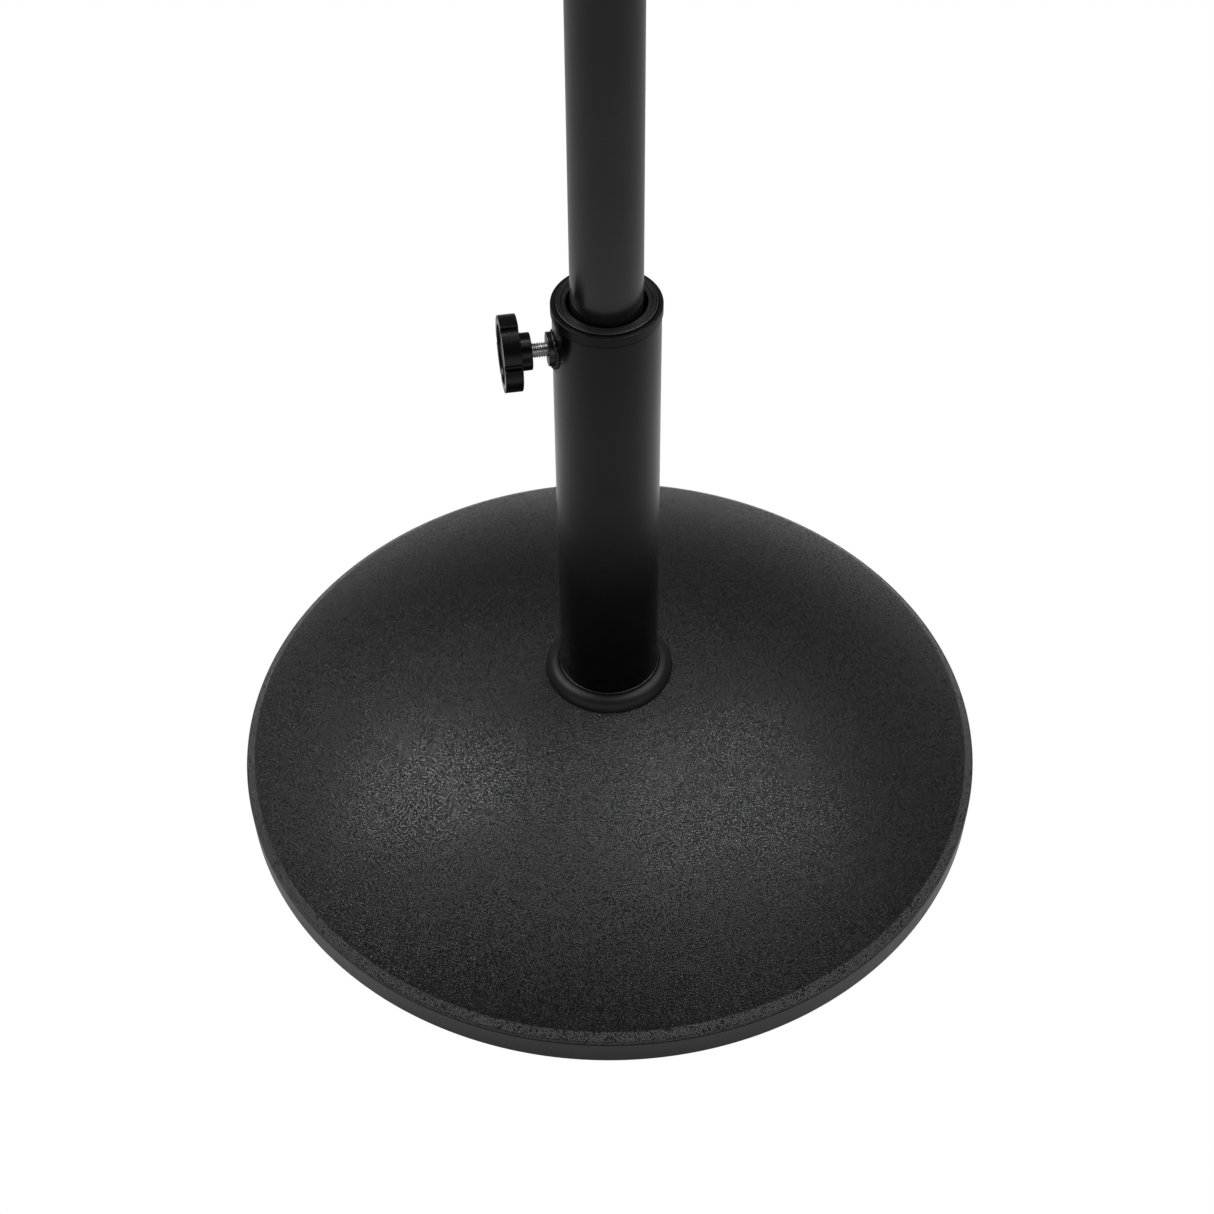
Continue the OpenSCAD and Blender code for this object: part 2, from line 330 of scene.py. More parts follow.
def leather_plastic():
    """Moulded leather grain of rounded pebbles, with painted light on the rim's sloping band, which is
    painted much paler than the dome, and the grain left out on the lip.
    """
    n = Nodes("leather_grain_plastic")
    # The distance from the pole's axis picks out the band and the lip
    flat = n.add("ShaderNodeVectorMath", operation="MULTIPLY")
    n.link(n.place, flat.inputs[0])
    flat.inputs[1].default_value = (1, 1, 0)
    length = n.add("ShaderNodeVectorMath", operation="LENGTH")
    n.link(flat.outputs[0], length.inputs[0])
    radius = length.outputs["Value"]
    band = n.remap(radius, (RIM_R - 0.1) * MM, (RIM_R + 0.25) * MM, 0, 1)
    lip = n.remap(radius, (shell.r - 0.9) * MM, (shell.r - 0.7) * MM, 0, 1)
    # Pebbles are cells with wavering edges; the grooves between them carry painted shade, a near-black colour
    # and less specular, and are rougher
    drift = n.add("ShaderNodeTexNoise")
    drift.inputs["Scale"].default_value = 1 / (1.5 * MM)
    n.link(n.place, drift.inputs["Vector"])
    offset = n.add("ShaderNodeVectorMath", operation="MULTIPLY_ADD")
    n.link(drift.outputs["Color"], offset.inputs[0])
    offset.inputs[1].default_value = (0.8 * MM, 0.8 * MM, 0.8 * MM)
    n.link(n.place, offset.inputs[2])
    pebble = n.add("ShaderNodeTexVoronoi", feature="DISTANCE_TO_EDGE")
    pebble.inputs["Scale"].default_value = 1 / (1.18 * MM)
    n.link(offset.outputs[0], pebble.inputs["Vector"])
    height = n.remap(pebble.outputs["Distance"], 0.02, 0.25, 0, 1)
    fine = n.noise(0.4, 2)
    total = n.maths("ADD", height, n.maths("MULTIPLY", fine, 0.3))
    total = n.maths("MULTIPLY", total, n.remap(lip, 0, 1, 1, 0.04))
    patches = n.noise(60, 4, 0.6)
    scuffs = n.noise(7, 5, 0.7)
    tone = n.maths("ADD", n.maths("MULTIPLY", patches, 0.7), n.maths("MULTIPLY", scuffs, 0.3))
    colour = n.blend(n.remap(tone, 0.38, 0.62, 0, 1), grey(0.004), grey(0.0055))
    # Painted light: the sloping band is painted far paler than the dome, in place of the light that falls on
    # it.
    colour = n.blend(band, colour, grey(0.09))
    # Painted shade: the grooves between the pebbles are painted near black.
    colour = n.blend(n.remap(height, 0.2, 0.7, 1, 0), colour, grey(0.0008))
    colour = n.blend(lip, colour, grey(0.010))
    # Less specular in the grooves, as part of their painted shade.
    n.link(n.remap(height, 0.1, 0.8, 0.18, 0.6), n.shader.inputs["Specular IOR Level"])
    rough = n.maths("ADD", n.remap(patches, 0.35, 0.65, 0.25, 0.28), n.remap(height, 0, 0.6, 0.30, 0.0))
    return n.done(colour, rough, n.bump(total, 1.0, 0.095))


def smooth_plastic(name, low, high, rough, grain_mm=0.5, depth=0.012, specular=0.5):
    """Plain moulded plastic with a fine eroded texture, faint flow marks and a few dull scuffs."""
    n = Nodes(name)
    flow = n.noise(26, 4, 0.55)
    fine = n.noise(grain_mm, 3, 0.6)
    scuffs = n.noise(5, 6, 0.75)
    colour = n.blend(n.remap(flow, 0.38, 0.62, 0, 1), grey(low), grey(high))
    colour = n.blend(n.remap(scuffs, 0.64, 0.74, 0, 0.5), colour, grey(high * 1.7))
    marks = n.remap(scuffs, 0.45, 0.7, 0, 0.05)
    roughness = n.maths("ADD", n.remap(flow, 0.35, 0.65, rough - 0.025, rough + 0.025), marks)
    low_wave = n.noise(9, 2)
    normal = n.bump(low_wave, 0.15, 0.05)
    return n.done(colour, roughness, n.bump(fine, 0.5, depth, normal), Specular_IOR_Level=specular)


def powder_coat(name, low, high, rough, peel_mm=1.1, peel_depth=0.010, specular=0.5):
    """Satin powder coat: orange peel over steel, with tiny pits and a soft change of tone."""
    n = Nodes(name)
    flow = n.noise(40, 4, 0.6)
    peel = n.noise(peel_mm, 2, 0.45)
    fine = n.noise(0.25, 2)
    colour = n.blend(n.remap(flow, 0.38, 0.62, 0, 1), grey(low), grey(high))
    pits = n.noise(0.8, 1)
    colour = n.blend(n.remap(pits, 0.70, 0.76, 0, 0.6), colour, grey(high * 1.8))
    roughness = n.maths("ADD", n.remap(flow, 0.35, 0.65, rough - 0.02, rough + 0.03),
                        n.remap(fine, 0.3, 0.7, -0.02, 0.02))
    height = n.maths("ADD", peel, n.maths("MULTIPLY", fine, 0.2))
    return n.done(colour, roughness, n.bump(height, 0.5, peel_depth), Specular_IOR_Level=specular)


def zinc_plate(name, tone, rough, stretch=(1, 1, 1), grain_mm=0.5):
    """Zinc-plated steel: drawn marks, cloudy passivation and small dull spots."""
    n = Nodes(name)
    cloud = n.noise(6, 5, 0.65)
    lines = n.noise(grain_mm, 4, 0.6, stretch=stretch)
    colour = n.blend(n.remap(cloud, 0.35, 0.65, 0, 1), grey(tone, -0.01), grey(tone * 0.82, 0.015))
    spots = n.noise(1.6, 3, 0.6)
    colour = n.blend(n.remap(spots, 0.64, 0.72, 0, 0.6), colour, grey(tone * 0.5))
    roughness = n.maths("ADD", n.remap(cloud, 0.35, 0.65, rough - 0.05, rough + 0.08),
                        n.remap(lines, 0.3, 0.7, -0.05, 0.07))
    return n.done(colour, roughness, n.bump(lines, 0.35, 0.02), Metallic=1.0)


def weld_coat():
    """Black powder coat run over a rough weld: glossy on the lumps, dull in the hollows."""
    n = Nodes("weld_coat")
    lumps = n.noise(1.1, 4, 0.6)
    fine = n.noise(0.3, 3, 0.6)
    colour = n.blend(n.remap(lumps, 0.4, 0.65, 0, 1), grey(0.006), grey(0.014))
    roughness = n.remap(lumps, 0.35, 0.65, 0.42, 0.22)
    height = n.maths("ADD", lumps, n.maths("MULTIPLY", fine, 0.3))
    return n.done(colour, roughness, n.bump(height, 0.8, 0.25))


def rubber(name, tone):
    n = Nodes(name)
    flow = n.noise(8, 4, 0.6)
    fine = n.noise(0.35, 3, 0.6)
    colour = n.blend(n.remap(flow, 0.35, 0.65, 0, 1), grey(tone), grey(tone * 1.6, 0.02))
    roughness = n.remap(fine, 0.3, 0.7, 0.62, 0.78)
    return n.done(colour, roughness, n.bump(fine, 0.4, 0.03))


def concrete():
    """Cast concrete: grey paste, sand and air holes."""
    n = Nodes("cast_concrete")
    paste = n.noise(18, 6, 0.65)
    sand = n.noise(1.2, 4, 0.7)
    holes = n.add("ShaderNodeTexVoronoi")
    holes.inputs["Scale"].default_value = 1 / (9 * MM)
    n.link(n.place, holes.inputs["Vector"])
    colour = n.blend(n.remap(paste, 0.35, 0.65, 0, 1), grey(0.30, 0.03), grey(0.42, 0.02))
    colour = n.blend(n.remap(sand, 0.55, 0.7, 0, 0.6), colour, grey(0.2, 0.05))
    pit = n.remap(holes.outputs["Distance"], 0.05, 0.14, 0, 1)
    roughness = n.remap(sand, 0.3, 0.7, 0.78, 0.95)
    height = n.maths("ADD", pit, n.maths("MULTIPLY", sand, 0.5))
    return n.done(colour, roughness, n.bump(height, 0.6, 0.5))


def nylon():
    n = Nodes("natural_nylon")
    flow = n.noise(3, 4, 0.6)
    fine = n.noise(0.3, 3, 0.6)
    colour = n.blend(n.remap(flow, 0.35, 0.65, 0, 1), (0.60, 0.58, 0.50), (0.68, 0.66, 0.60))
    return n.done(colour, n.remap(fine, 0.3, 0.7, 0.38, 0.5), n.bump(fine, 0.3, 0.02))


MATERIALS = {
    "grained_plastic": leather_plastic(),
    "tray_plastic": smooth_plastic("tray_plastic", 0.0045, 0.006, 0.36, specular=0.3),
    "collar_plastic": smooth_plastic("collar_plastic", 0.0035, 0.0045, 0.44, specular=0.3),
    "cap_plastic": smooth_plastic("cap_plastic", 0.001, 0.0014, 0.38,
                                  grain_mm=0.35, depth=0.02, specular=0.24),
    "reducer_plastic": smooth_plastic("reducer_plastic", 0.0025, 0.0032, 0.38, grain_mm=0.35, depth=0.02),
    "knob_plastic": smooth_plastic("knob_plastic", 0.002, 0.0028, 0.24,
                                   grain_mm=0.4, depth=0.008, specular=0.22),
    "knob_cap_plastic": smooth_plastic("knob_cap_plastic", 0.005, 0.007, 0.45, grain_mm=0.3, depth=0.02),
    "plug_plastic": smooth_plastic("plug_plastic", 0.009, 0.012, 0.45),
    "tip_nylon": nylon(),
    "foot_rubber": rubber("foot_rubber", 0.012),
    "seal_rubber": smooth_plastic("seal_rubber", 0.014, 0.018, 0.26, grain_mm=0.3, depth=0.004),
    "concrete": concrete(),
    "tube_coating": powder_coat("tube_coating", 0.0014, 0.0020, 0.24, peel_depth=0.008, specular=0.24),
    "plate_coating": powder_coat("plate_coating", 0.006, 0.008, 0.36),
    "weld_coating": weld_coat(),
    "pole_coating": powder_coat("pole_coating", 0.0075, 0.0095, 0.24,
                                peel_mm=1.2, peel_depth=0.004, specular=0.62),
    "zinc_steel": zinc_plate("zinc_steel", 0.58, 0.34),
    "screw_zinc": zinc_plate("screw_zinc", 0.62, 0.26, grain_mm=0.3),
    "coupler_steel": zinc_plate("coupler_steel", 0.56, 0.32, stretch=(1, 1, 0.08)),
    "rivet_steel": zinc_plate("rivet_steel", 0.60, 0.28, grain_mm=0.3),
}


def place(obj, body, nodes, slot, material=None):
    """Puts a piece on its body in place of CAD nodes, with its slot's material unless another is given."""
    obj.data.materials.clear()
    obj.data.materials.append(MATERIALS[slot] if material is None else material)
    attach(obj, body)
    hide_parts(*nodes)


# ---------------------------------------------------------------- dome shell and tray

def dome_radius_and_centre():
    """Radius and centre height of the sphere through the rim's upper edge and the edge of the seat."""
    centre = (SEAT_R ** 2 + shell.z1 ** 2 - RIM_R ** 2 - RIM_Z ** 2) / (2 * (shell.z1 - RIM_Z))
    return math.hypot(SEAT_R, shell.z1 - centre), centre


DOME_R, DOME_Z = dome_radius_and_centre()


def dome_arc(radius, r_from, r_to, steps):
    """Profile of a sphere about the dome's centre, between two distances from the pole's axis."""
    return arc(0, DOME_Z, radius, math.degrees(math.acos(r_from / radius)),
               math.degrees(math.acos(r_to / radius)), steps)


def build_shell():
    """Dome, sloping band with a groove at its foot, rounded lip, and a tongue that stands in the tray."""
    bore = collar.r + 0.3
    tongue = shell.r - SKIN - 0.6
    tongue_in = tongue - SKIN + 0.3
    bore_edge = rounded([(bore, shell.z1 - 1), (bore, shell.z1, 0.4), (SEAT_R - 1, shell.z1)], closed=False)
    outer = dome_arc(DOME_R, SEAT_R, RIM_R - 0.6, 48)
    band_top = (RIM_R + 0.15, RIM_Z - 0.35)
    lip = arc(shell.r - 2, LIP_Z + 0.35, 2, 44, 0, 6)
    lip += arc(shell.r - 0.35, LIP_Z + 0.35, 0.35, -15, -90, 4)
    band_foot = Vector(lip[0])
    band = rounded([outer[-1], (*band_top, 0.7), lip[0]], closed=False)[1:-1]
    down = (band_foot - Vector(band_top)).normalized()
    into = Vector((down.y, -down.x)) * 0.35
    groove = [band_foot - down * 0.55, band_foot - down * 0.45 + into, band_foot - down * 0.15 + into]
    profile = [(bore, shell.z1 - SKIN)] + bore_edge[1:]
    profile += outer + band + [tuple(point) for point in groove] + lip
    profile += [(tongue, LIP_Z), (tongue, shell.z0 + 0.4), (tongue - 0.4, shell.z0),
                (tongue_in, shell.z0), (tongue_in, RIM_Z - 3.6)]
    profile += dome_arc(DOME_R - SKIN, RIM_R - 2.8, SEAT_R, 40)
    return turned("dome_shell", profile, 384)


place(build_shell(), "base", ["base_shell"], "grained_plastic")


def at_angle(degrees, r=0.0, z=0.0):
    return Matrix.Rotation(math.radians(degrees), 4, "Z") @ Matrix.Translation((r, 0, z))


def box_into(bm, size, matrix):
    """Box with bevelled edges."""
    made = bmesh.ops.create_cube(bm, size=1, matrix=matrix @ Matrix.Diagonal((*size, 1)))
    edges = {e for v in made["verts"] for e in v.link_edges}
    bmesh.ops.bevel(bm, geom=list(edges), offset=0.35, segments=2, affect="EDGES")


def build_tray():
    """Tray with a low side wall, a raised cup for the anchor bolt, ribs and holes for the feet."""
    floor_z, cup_r, cup_z, bolt_r = 3, 36, 19.5, 5.5
    skirt, top, side_top = tray.r - 0.6, tray.z1, LIP_Z - 0.5
    corners = [
        (bolt_r, cup_z, 0.3), (cup_r, cup_z, 1.2), (cup_r, floor_z, 1.2), (skirt - SKIN, floor_z, 1.5),
        (skirt - SKIN, 0.8, 0.5), (skirt - 0.8, 0.8, 0.6), (skirt, 1.6, 0.7), (tray.r, side_top, 0.45),
        (tray.r - SKIN, side_top, 0.3), (tray.r - SKIN, floor_z + SKIN, 1.5),
        (cup_r + SKIN, floor_z + SKIN, 1.5), (cup_r + SKIN, top, 1.2), (bolt_r, top, 0.3),
    ]
    body = turned("tray", rounded(corners), 384)
    tools = bmesh.new()
    rib_in, rib_out, ribs = cup_r + 4, skirt - SKIN + 0.6, 10
    for i in range(ribs):
        middle = at_angle(90 + 360 / ribs * (i + 0.5), (rib_in + rib_out) / 2, floor_z - 0.5)
        box_into(tools, (rib_out - rib_in, 2, 2), middle)
    body = combine(body, make_object("tray_ribs", tools, False), "UNION")
    tools = bmesh.new()
    for a in FOOT_ANGLES:
        cylinder(tools, 3.1, 1, 7, 32, at_angle(a, FOOT_CIRCLE))
    return combine(body, make_object("tray_holes", tools, False), "DIFFERENCE")


place(build_tray(), "base", ["bottom_tray"], "tray_plastic")


def build_feet():
    """Push-in rubber feet: a dished pad with three grip rings, a stem and a barb above the tray's floor."""
    bm = bmesh.new()
    pad = [(0, 0.35), (4.2, 0.35), (4.8, 0.0), (6.6, 0.0), (7.1, 0.35), (8.0, 0.35), (8.5, 0.0), (11.0, 0.0)]
    pad += arc(11.6, 1.3, 1.3, -90, 0, 5)[1:] + arc(12.4, 2.5, 0.5, 0, 90, 3) + [(3.4, 3.0)]
    stem = [(3.0, 3.3), (3.0, 5.5), (4.3, 5.65), (4.2, 6.2), (2.7, 8.1), (2.2, 8.2), (0, 8.2)]
    for a in FOOT_ANGLES:
        turn(bm, pad + stem, 48, False, at_angle(a, FOOT_CIRCLE))
    return make_object("rubber_feet_set", bm)


place(build_feet(), "base", ["rubber_feet"], "foot_rubber")


# ---------------------------------------------------------------- collar, seal, tube

def build_collar():
    """Rounded collar on the dome's seat, with a skirt that goes down into the dome's bore."""
    bore, skirt_z, seat = tube.r + 1.1, collar.z0, shell.z1
    skirt_r = bore + 3.6
    round_r = collar.r - tube.r - 1.4
    flange = rounded([(skirt_r, skirt_z + 1), (skirt_r, seat - 0.02), (collar.r, seat - 0.02, 0.3),
                      (collar.r, seat + 0.9)], closed=False)
    profile = [(bore, skirt_z), (skirt_r - 0.4, skirt_z)] + flange
    profile += arc(collar.r - round_r, seat, round_r, 8, 84, 14)
    profile += rounded([(bore + 0.8, collar.z1 - 0.02), (bore, collar.z1 - 0.05, 0.25),
                        (bore, collar.z1 - 1.5)], closed=False)
    return turned("collar_ring", profile)


place(build_collar(), "base", ["base_collar"], "collar_plastic")


def build_seal():
    """Ring between collar and tube, with a round bead along its top."""
    outer, inner, bead = seal.r, tube.r + 0.05, 0.38
    middle = (outer + inner) / 2 + 0.02
    profile = [(inner, seal.z0), (outer, seal.z0), (outer, seal.z1 - 1.6), (middle + bead, seal.z1 - 1.1)]
    profile += arc(middle, seal.z1 - bead, bead, 0, 180, 10)
    profile += [(middle - bead, seal.z1 - 1.1), (inner, seal.z1 - 1.6)]
    return turned("seal_lip", profile)


place(build_seal(), "base", ["tube_seal"], "seal_rubber")


def build_tube():
    """Open tube with a hole for the bush's neck."""
    wall = 1.5
    corners = [(tube.r - wall, tube.z0, 0.2), (tube.r, tube.z0, 0.3), (tube.r, tube.z1, 0.65),
               (tube.r - wall, tube.z1, 0.2)]
    body = turned("base_tube_coated", rounded(corners))
    tools = bmesh.new()
    cylinder(tools, NECK_R + 0.05, 20, 34, 64, on_screw)
    return combine(body, make_object("tube_hole", tools, False), "DIFFERENCE")


place(build_tube(), "base", ["base_tube"], "tube_coating")


# ---------------------------------------------------------------- cap ring and reducer

def build_cap():
    """Ring with a spigot inside the tube, a head on the tube's end and a seat inside for the reducer."""
    spigot, seat_r, bore = tube.r - 1.6, tube.r - 1.6, tube.r - 3.3
    head_z, seat_z = tube.z1 + 0.6, cap.z1 - 2.3
    corners = [
        (bore, cap.z0, 0.2), (spigot - 0.6, cap.z0, 0.3), (spigot, cap.z0 + 1.5, 0.3),
        (spigot, tube.z1 + 0.02, 0.1), (tube.r - 0.9, tube.z1 + 0.02, 0.05), (tube.r - 0.8, head_z, 0.1),
        (cap.r, head_z, 0.35), (cap.r, cap.z1, 0.4), (seat_r, cap.z1, 0.2), (seat_r, seat_z, 0.15),
        (bore, seat_z, 0.2),
    ]
    return turned("cap_ring_moulded", rounded(corners, steps=5))


place(build_cap(), "base", ["cap_ring"], "cap_plastic")


def build_reducer():
    """Sleeve with a head in the cap ring; its top has a fine groove and a grooved step down to the bore."""
    bore, body, head = 21, tube.r - 3.6, reducer.r
    foot, top, shoulder = reducer.z0, reducer.z1, cap.z1 - 2.2
    step_r, low_top = tube.r - 4.8, top - 0.3
    groove = low_top - 0.35
    corners = [
        (bore, foot, 0.3), (body - 0.8, foot, 0.3), (body, foot + 2, 0.3), (body, shoulder, 0.2),
        (head, shoulder, 0.2), (head, top, 0.4), (head - 0.9, top, 0.08), (head - 1.05, low_top, 0.05),
        (head - 1.3, low_top, 0.05), (head - 1.45, top, 0.08), (step_r + 0.25, top, 0.1),
        (step_r, groove, 0.08), (step_r - 0.3, groove, 0.08), (step_r - 0.45, low_top, 0.1),
        (bore + 0.1, low_top, 0.5),
    ]
    return turned("reducer_moulded", rounded(corners, steps=5))


place(build_reducer(), "reducer", ["reducer_sleeve"], "reducer_plastic")


# ---------------------------------------------------------------- bush, weld and screw

def build_bush():
    """Bush with two grooves in its face, a neck in the wall and a head shaped to the tube's outside."""
    head, face, bore = bush.r, bush.t1, 4.05
    corners = [
        (bore, bush.t0, 0.3), (NECK_R, bush.t0, 0.4), (NECK_R, tube.r - 1.5, 0), (head, tube.r - 1.5, 0),
        (head, face, 0.3), (7.3, face, 0.1), (7.1, face - 0.22, 0.05), (6.8, face - 0.22, 0.05),
        (6.6, face, 0.1), (5.5, face, 0.1), (5.3, face - 0.18, 0.05), (5.1, face - 0.18, 0.05),
        (4.9, face, 0.1), (bore, face, 0.35),
    ]
    body = turned("bush_turned", rounded(corners), 96, matrix=on_screw)
    # What is cut off the head is the tube's inside, apart from the neck
    inside, neck = bmesh.new(), bmesh.new()
    cylinder(inside, tube.r - 0.02, screw_z - bush.r - 3, screw_z + bush.r + 3, SEGMENTS)
    cylinder(neck, NECK_R + 0.02, bush.t0 - 1, tube.r + 1, 96, on_screw)
    inside = make_object("bush_cut", inside, False)
    ring = combine(inside, make_object("bush_neck", neck, False), "DIFFERENCE")
    return combine(body, ring, "DIFFERENCE")


bush_coat = powder_coat("bush_coating", 0.007, 0.010, 0.34, peel_mm=1.6, peel_depth=0.03)
place(build_bush(), "base", ["clamp_bush"], "weld_coating", bush_coat)


def on_tube(angle, radius, lift):
    """Point near the tube's outside, at a radius and angle about the screw's axis, lift above the wall."""
    up, across = radius * math.cos(angle), radius * math.sin(angle)
    level = math.sqrt(tube.r ** 2 - across ** 2)
    scale = (tube.r + lift) / tube.r
    return Vector((-level * scale, across * scale, screw_z + up))


def build_weld():
    """Lumpy bead round the bush, with ripples along it and a few beads of spatter."""
    bm = bmesh.new()
    turns, around = 220, 20
    rings = []
    for i in range(turns):
        angle = 2 * math.pi * i / turns
        low = 0.5 - 0.5 * math.cos(angle)
        size = 0.75 + 0.85 * low
        wander = noise.noise(Vector((math.cos(angle), math.sin(angle), 0)) * 2)
        ripple = 0.16 * math.sin(angle * 27 + 2 * wander)
        centre = on_tube(angle, bush.r + 0.1 + 0.5 * low, 0.1)
        out = (on_tube(angle, bush.r + 1.15, 0.1) - on_tube(angle, bush.r + 0.15, 0.1)).normalized()
        up = (on_tube(angle, bush.r + 0.15, 1.1) - on_tube(angle, bush.r + 0.15, 0.1)).normalized()
        ring = []
        for j in range(around):
            b = 2 * math.pi * j / around
            direction = out * math.cos(b) + up * math.sin(b)
            point = centre + direction * size
            lump = noise.noise(point * 0.55) * 0.5 + noise.noise(point * 1.5) * 0.34
            ring.append(centre + direction * (size + (ripple + lump) * (0.4 + 0.7 * low)))
        rings.append(ring)
    skin(bm, rings, True)
    chance = random.Random(11)
    for _ in range(16):
        angle = math.pi + chance.gauss(0, 1.0)
        radius = bush.r + 1.9 + abs(chance.gauss(0, 1.5))
        size = chance.uniform(0.15, 0.38)
        middle = on_tube(angle, radius, size * 0.25)
        blob = bmesh.ops.create_icosphere(bm, subdivisions=3, radius=size)
        for v in blob["verts"]:
            v.co = middle + v.co * (1 + 0.35 * noise.noise(v.co * 2.2 / size + middle))
    return make_object("weld_lumps", bm)


place(build_weld(), "base", ["weld_bead"], "weld_coating")


def thread_radius(along, angle, major, depth):
    """60 degree thread with a flat crest and a rounded root."""
    phase = (along / PITCH - angle / (2 * math.pi)) % 1.0
    flank = abs(phase - 0.5) * 2
    rise = min(1.0, max(0.0, (flank - 0.14) / 0.70))
    return major - depth + depth * (rise - 0.1 * math.sin(math.pi * rise) * (1 - rise))


def hexagon(angles, flat_r, corner_r, t, inset=0.0):
    """Ring round a hexagon whose corners are turned off."""
    ring = []
    for a in angles:
        side = (a + math.pi / 6) % (math.pi / 3) - math.pi / 6
        r = min(flat_r / math.cos(side), corner_r) - inset
        ring.append((r * math.cos(a), r * math.sin(a), t))
    return ring


def build_screw():
    """M8 screw with a real helical thread, a turned nose for the nylon tip and a hexagon inside the knob."""
    bm = bmesh.new()
    around, per_pitch = 64, 14
    t0, major, depth, tip_bore, tip_end = screw.t0, 4.0, 0.68, 3.05, screw.t0 + 5.3
    angles = [2 * math.pi * k / around for k in range(around)]
    steps = round((THREAD_END - t0) / PITCH * per_pitch)
    rings = [[(0, 0, tip_end)], circle(tip_bore, tip_end, around), circle(tip_bore, t0, around)]
    for i in range(steps + 1):
        t = t0 + (THREAD_END - t0) * i / steps
        lead_in = min(1.0, (t - t0) / 0.9)
        fade = min(1.0, max(0.0, (THREAD_END - 0.4 - t) / 0.8))
        ring = []
        for a in angles:
            cut = thread_radius(t, a, major, depth)
            r = cut * fade + major * (1 - fade)
            r = min(r, major - depth + 0.1 + (depth - 0.1) * lead_in)
            ring.append((r * math.cos(a), r * math.sin(a), t))
        rings.append(ring)
    for t, inset in ((THREAD_END, 0.5), (THREAD_END + 0.4, 0.0), (screw.t1 - 0.5, 0.0), (screw.t1, 0.6)):
        rings.append(hexagon(angles, 6.5, 7.3, t, inset))
    rings.append([(0, 0, screw.t1)])
    skin(bm, rings, False, on_screw)
    return make_object("threaded_screw", bm)


place(build_screw(), "knob", ["clamp_screw"], "screw_zinc")


# ---------------------------------------------------------------- star knob

LOBES = 6
# Where the first lobe points, in degrees round the screw from straight up
LOBE_TURN = -43
# Radii of the narrow notches, of the lobes' corners and of the hub
NOTCH_R = 1.7
CORNER_R = 0.6
HUB_R = 10
# Inner faces of the star and of its hub, along the screw
STAR_IN = star.t1 - 9.5
HUB_IN = star.t0


def star_outline():
    """Points and outward normals round the star: outer arcs, rounded corners and narrow notches."""
    big = star.r
    notch = big - 0.9
    inner = big - CORNER_R
    gap = NOTCH_R + CORNER_R
    half = math.acos((notch ** 2 + inner ** 2 - gap ** 2) / (2 * notch * inner))
    step = 2 * math.pi / LOBES
    points = []

    def add(centre, radius, start, end, count, sign):
        for i in range(count):
            a = start + (end - start) * (i + 0.5) / count
            normal = Vector((math.cos(a), math.sin(a), 0))
            points.append((centre + normal * radius, normal * sign))

    for k in range(LOBES):
        a0 = math.radians(LOBE_TURN) + step * (k - 0.5)
        valley = Vector((math.cos(a0), math.sin(a0), 0)) * notch
        first = Vector((math.cos(a0 + half), math.sin(a0 + half), 0)) * inner
        last = Vector((math.cos(a0 + step - half), math.sin(a0 + step - half), 0)) * inner
        to_first = first - valley
        bottom = math.atan2(to_first.y, to_first.x)
        opening = (bottom - a0) % (2 * math.pi)
        add(valley, NOTCH_R, a0 + math.pi, a0 + opening, 7, -1)
        start = bottom + math.pi
        span = (a0 + half - start) % (2 * math.pi)
        add(first, CORNER_R, start, start + span, 6, 1)
        add(Vector((0, 0, 0)), big, a0 + half, a0 + step - half, 18, 1)
        next_a0 = a0 + step
        next_valley = Vector((math.cos(next_a0), math.sin(next_a0), 0)) * notch
        to_last = last - next_valley
        down = math.atan2(to_last.y, to_last.x)
        begin = a0 + step - half
        span = (down + math.pi - begin) % (2 * math.pi)
        add(last, CORNER_R, begin, begin + span, 6, 1)
        opening = (down - next_a0) % (2 * math.pi)
        add(next_valley, NOTCH_R, next_a0 + opening, next_a0 + math.pi, 7, -1)
    return points


def build_star():
    """Star with a hub, a recessed face, a pocket for the disc and a hexagon round the screw's head."""
    outline = star_outline()
    angles = [math.atan2(p.y, p.x) for p, _ in outline]

    def ring(r, t):
        return [(r * math.cos(a), r * math.sin(a), t) for a in angles]

    def outline_at(inset, t):
        return [tuple(p - n * inset + Vector((0, 0, t))) for p, n in outline]

    def edge(radius, t, direction, steps=4):
        """Insets and heights over a rounded edge, from the side wall to a face."""
        made = []
        for i in range(steps + 1):
            a = math.radians(90 * i / steps)
            made.append((radius * (1 - math.cos(a)), t + direction * radius * (math.sin(a) - 1)))
        return made

    hub = rounded([(4.5, HUB_IN), (HUB_R - 0.12, HUB_IN, 0.5), (HUB_R, STAR_IN, 0.9), (HUB_R + 4, STAR_IN)],
                  closed=False)[1:]
    face, recess_r, recess_t = star.t1, star.r - 4.3, star.t1 - 1.5
    pocket_r = knob_disc.r + 0.05
    recess = [
        (recess_r + 0.35, face), (recess_r + 0.1, face - 0.1), (recess_r, face - 0.35),
        (recess_r - 0.1, recess_t + 0.5), (recess_r - 0.25, recess_t + 0.15), (recess_r - 0.6, recess_t),
        (pocket_r + 0.25, recess_t), (pocket_r, recess_t - 0.25), (pocket_r, screw.t1 + 0.05),
    ]
    rings = [ring(r, t) for r, t in [(4.05, HUB_IN + 0.4), (4.45, HUB_IN)] + hub]
    rings += [outline_at(inset, t) for inset, t in reversed(edge(0.45, STAR_IN, -1))]
    rings += [outline_at(inset, t) for inset, t in edge(0.45, face, 1)]
    rings += [ring(r, t) for r, t in recess]
    rings += [hexagon(angles, 6.55, 7.4, t) for t in (screw.t1, THREAD_END - 0.05)]
    rings.append(ring(4.05, THREAD_END - 0.1))
    bm = bmesh.new()
    skin(bm, rings, True, on_screw)
    return make_object("star_knob_moulded", bm)


place(build_star(), "knob", ["star_knob"], "knob_plastic")


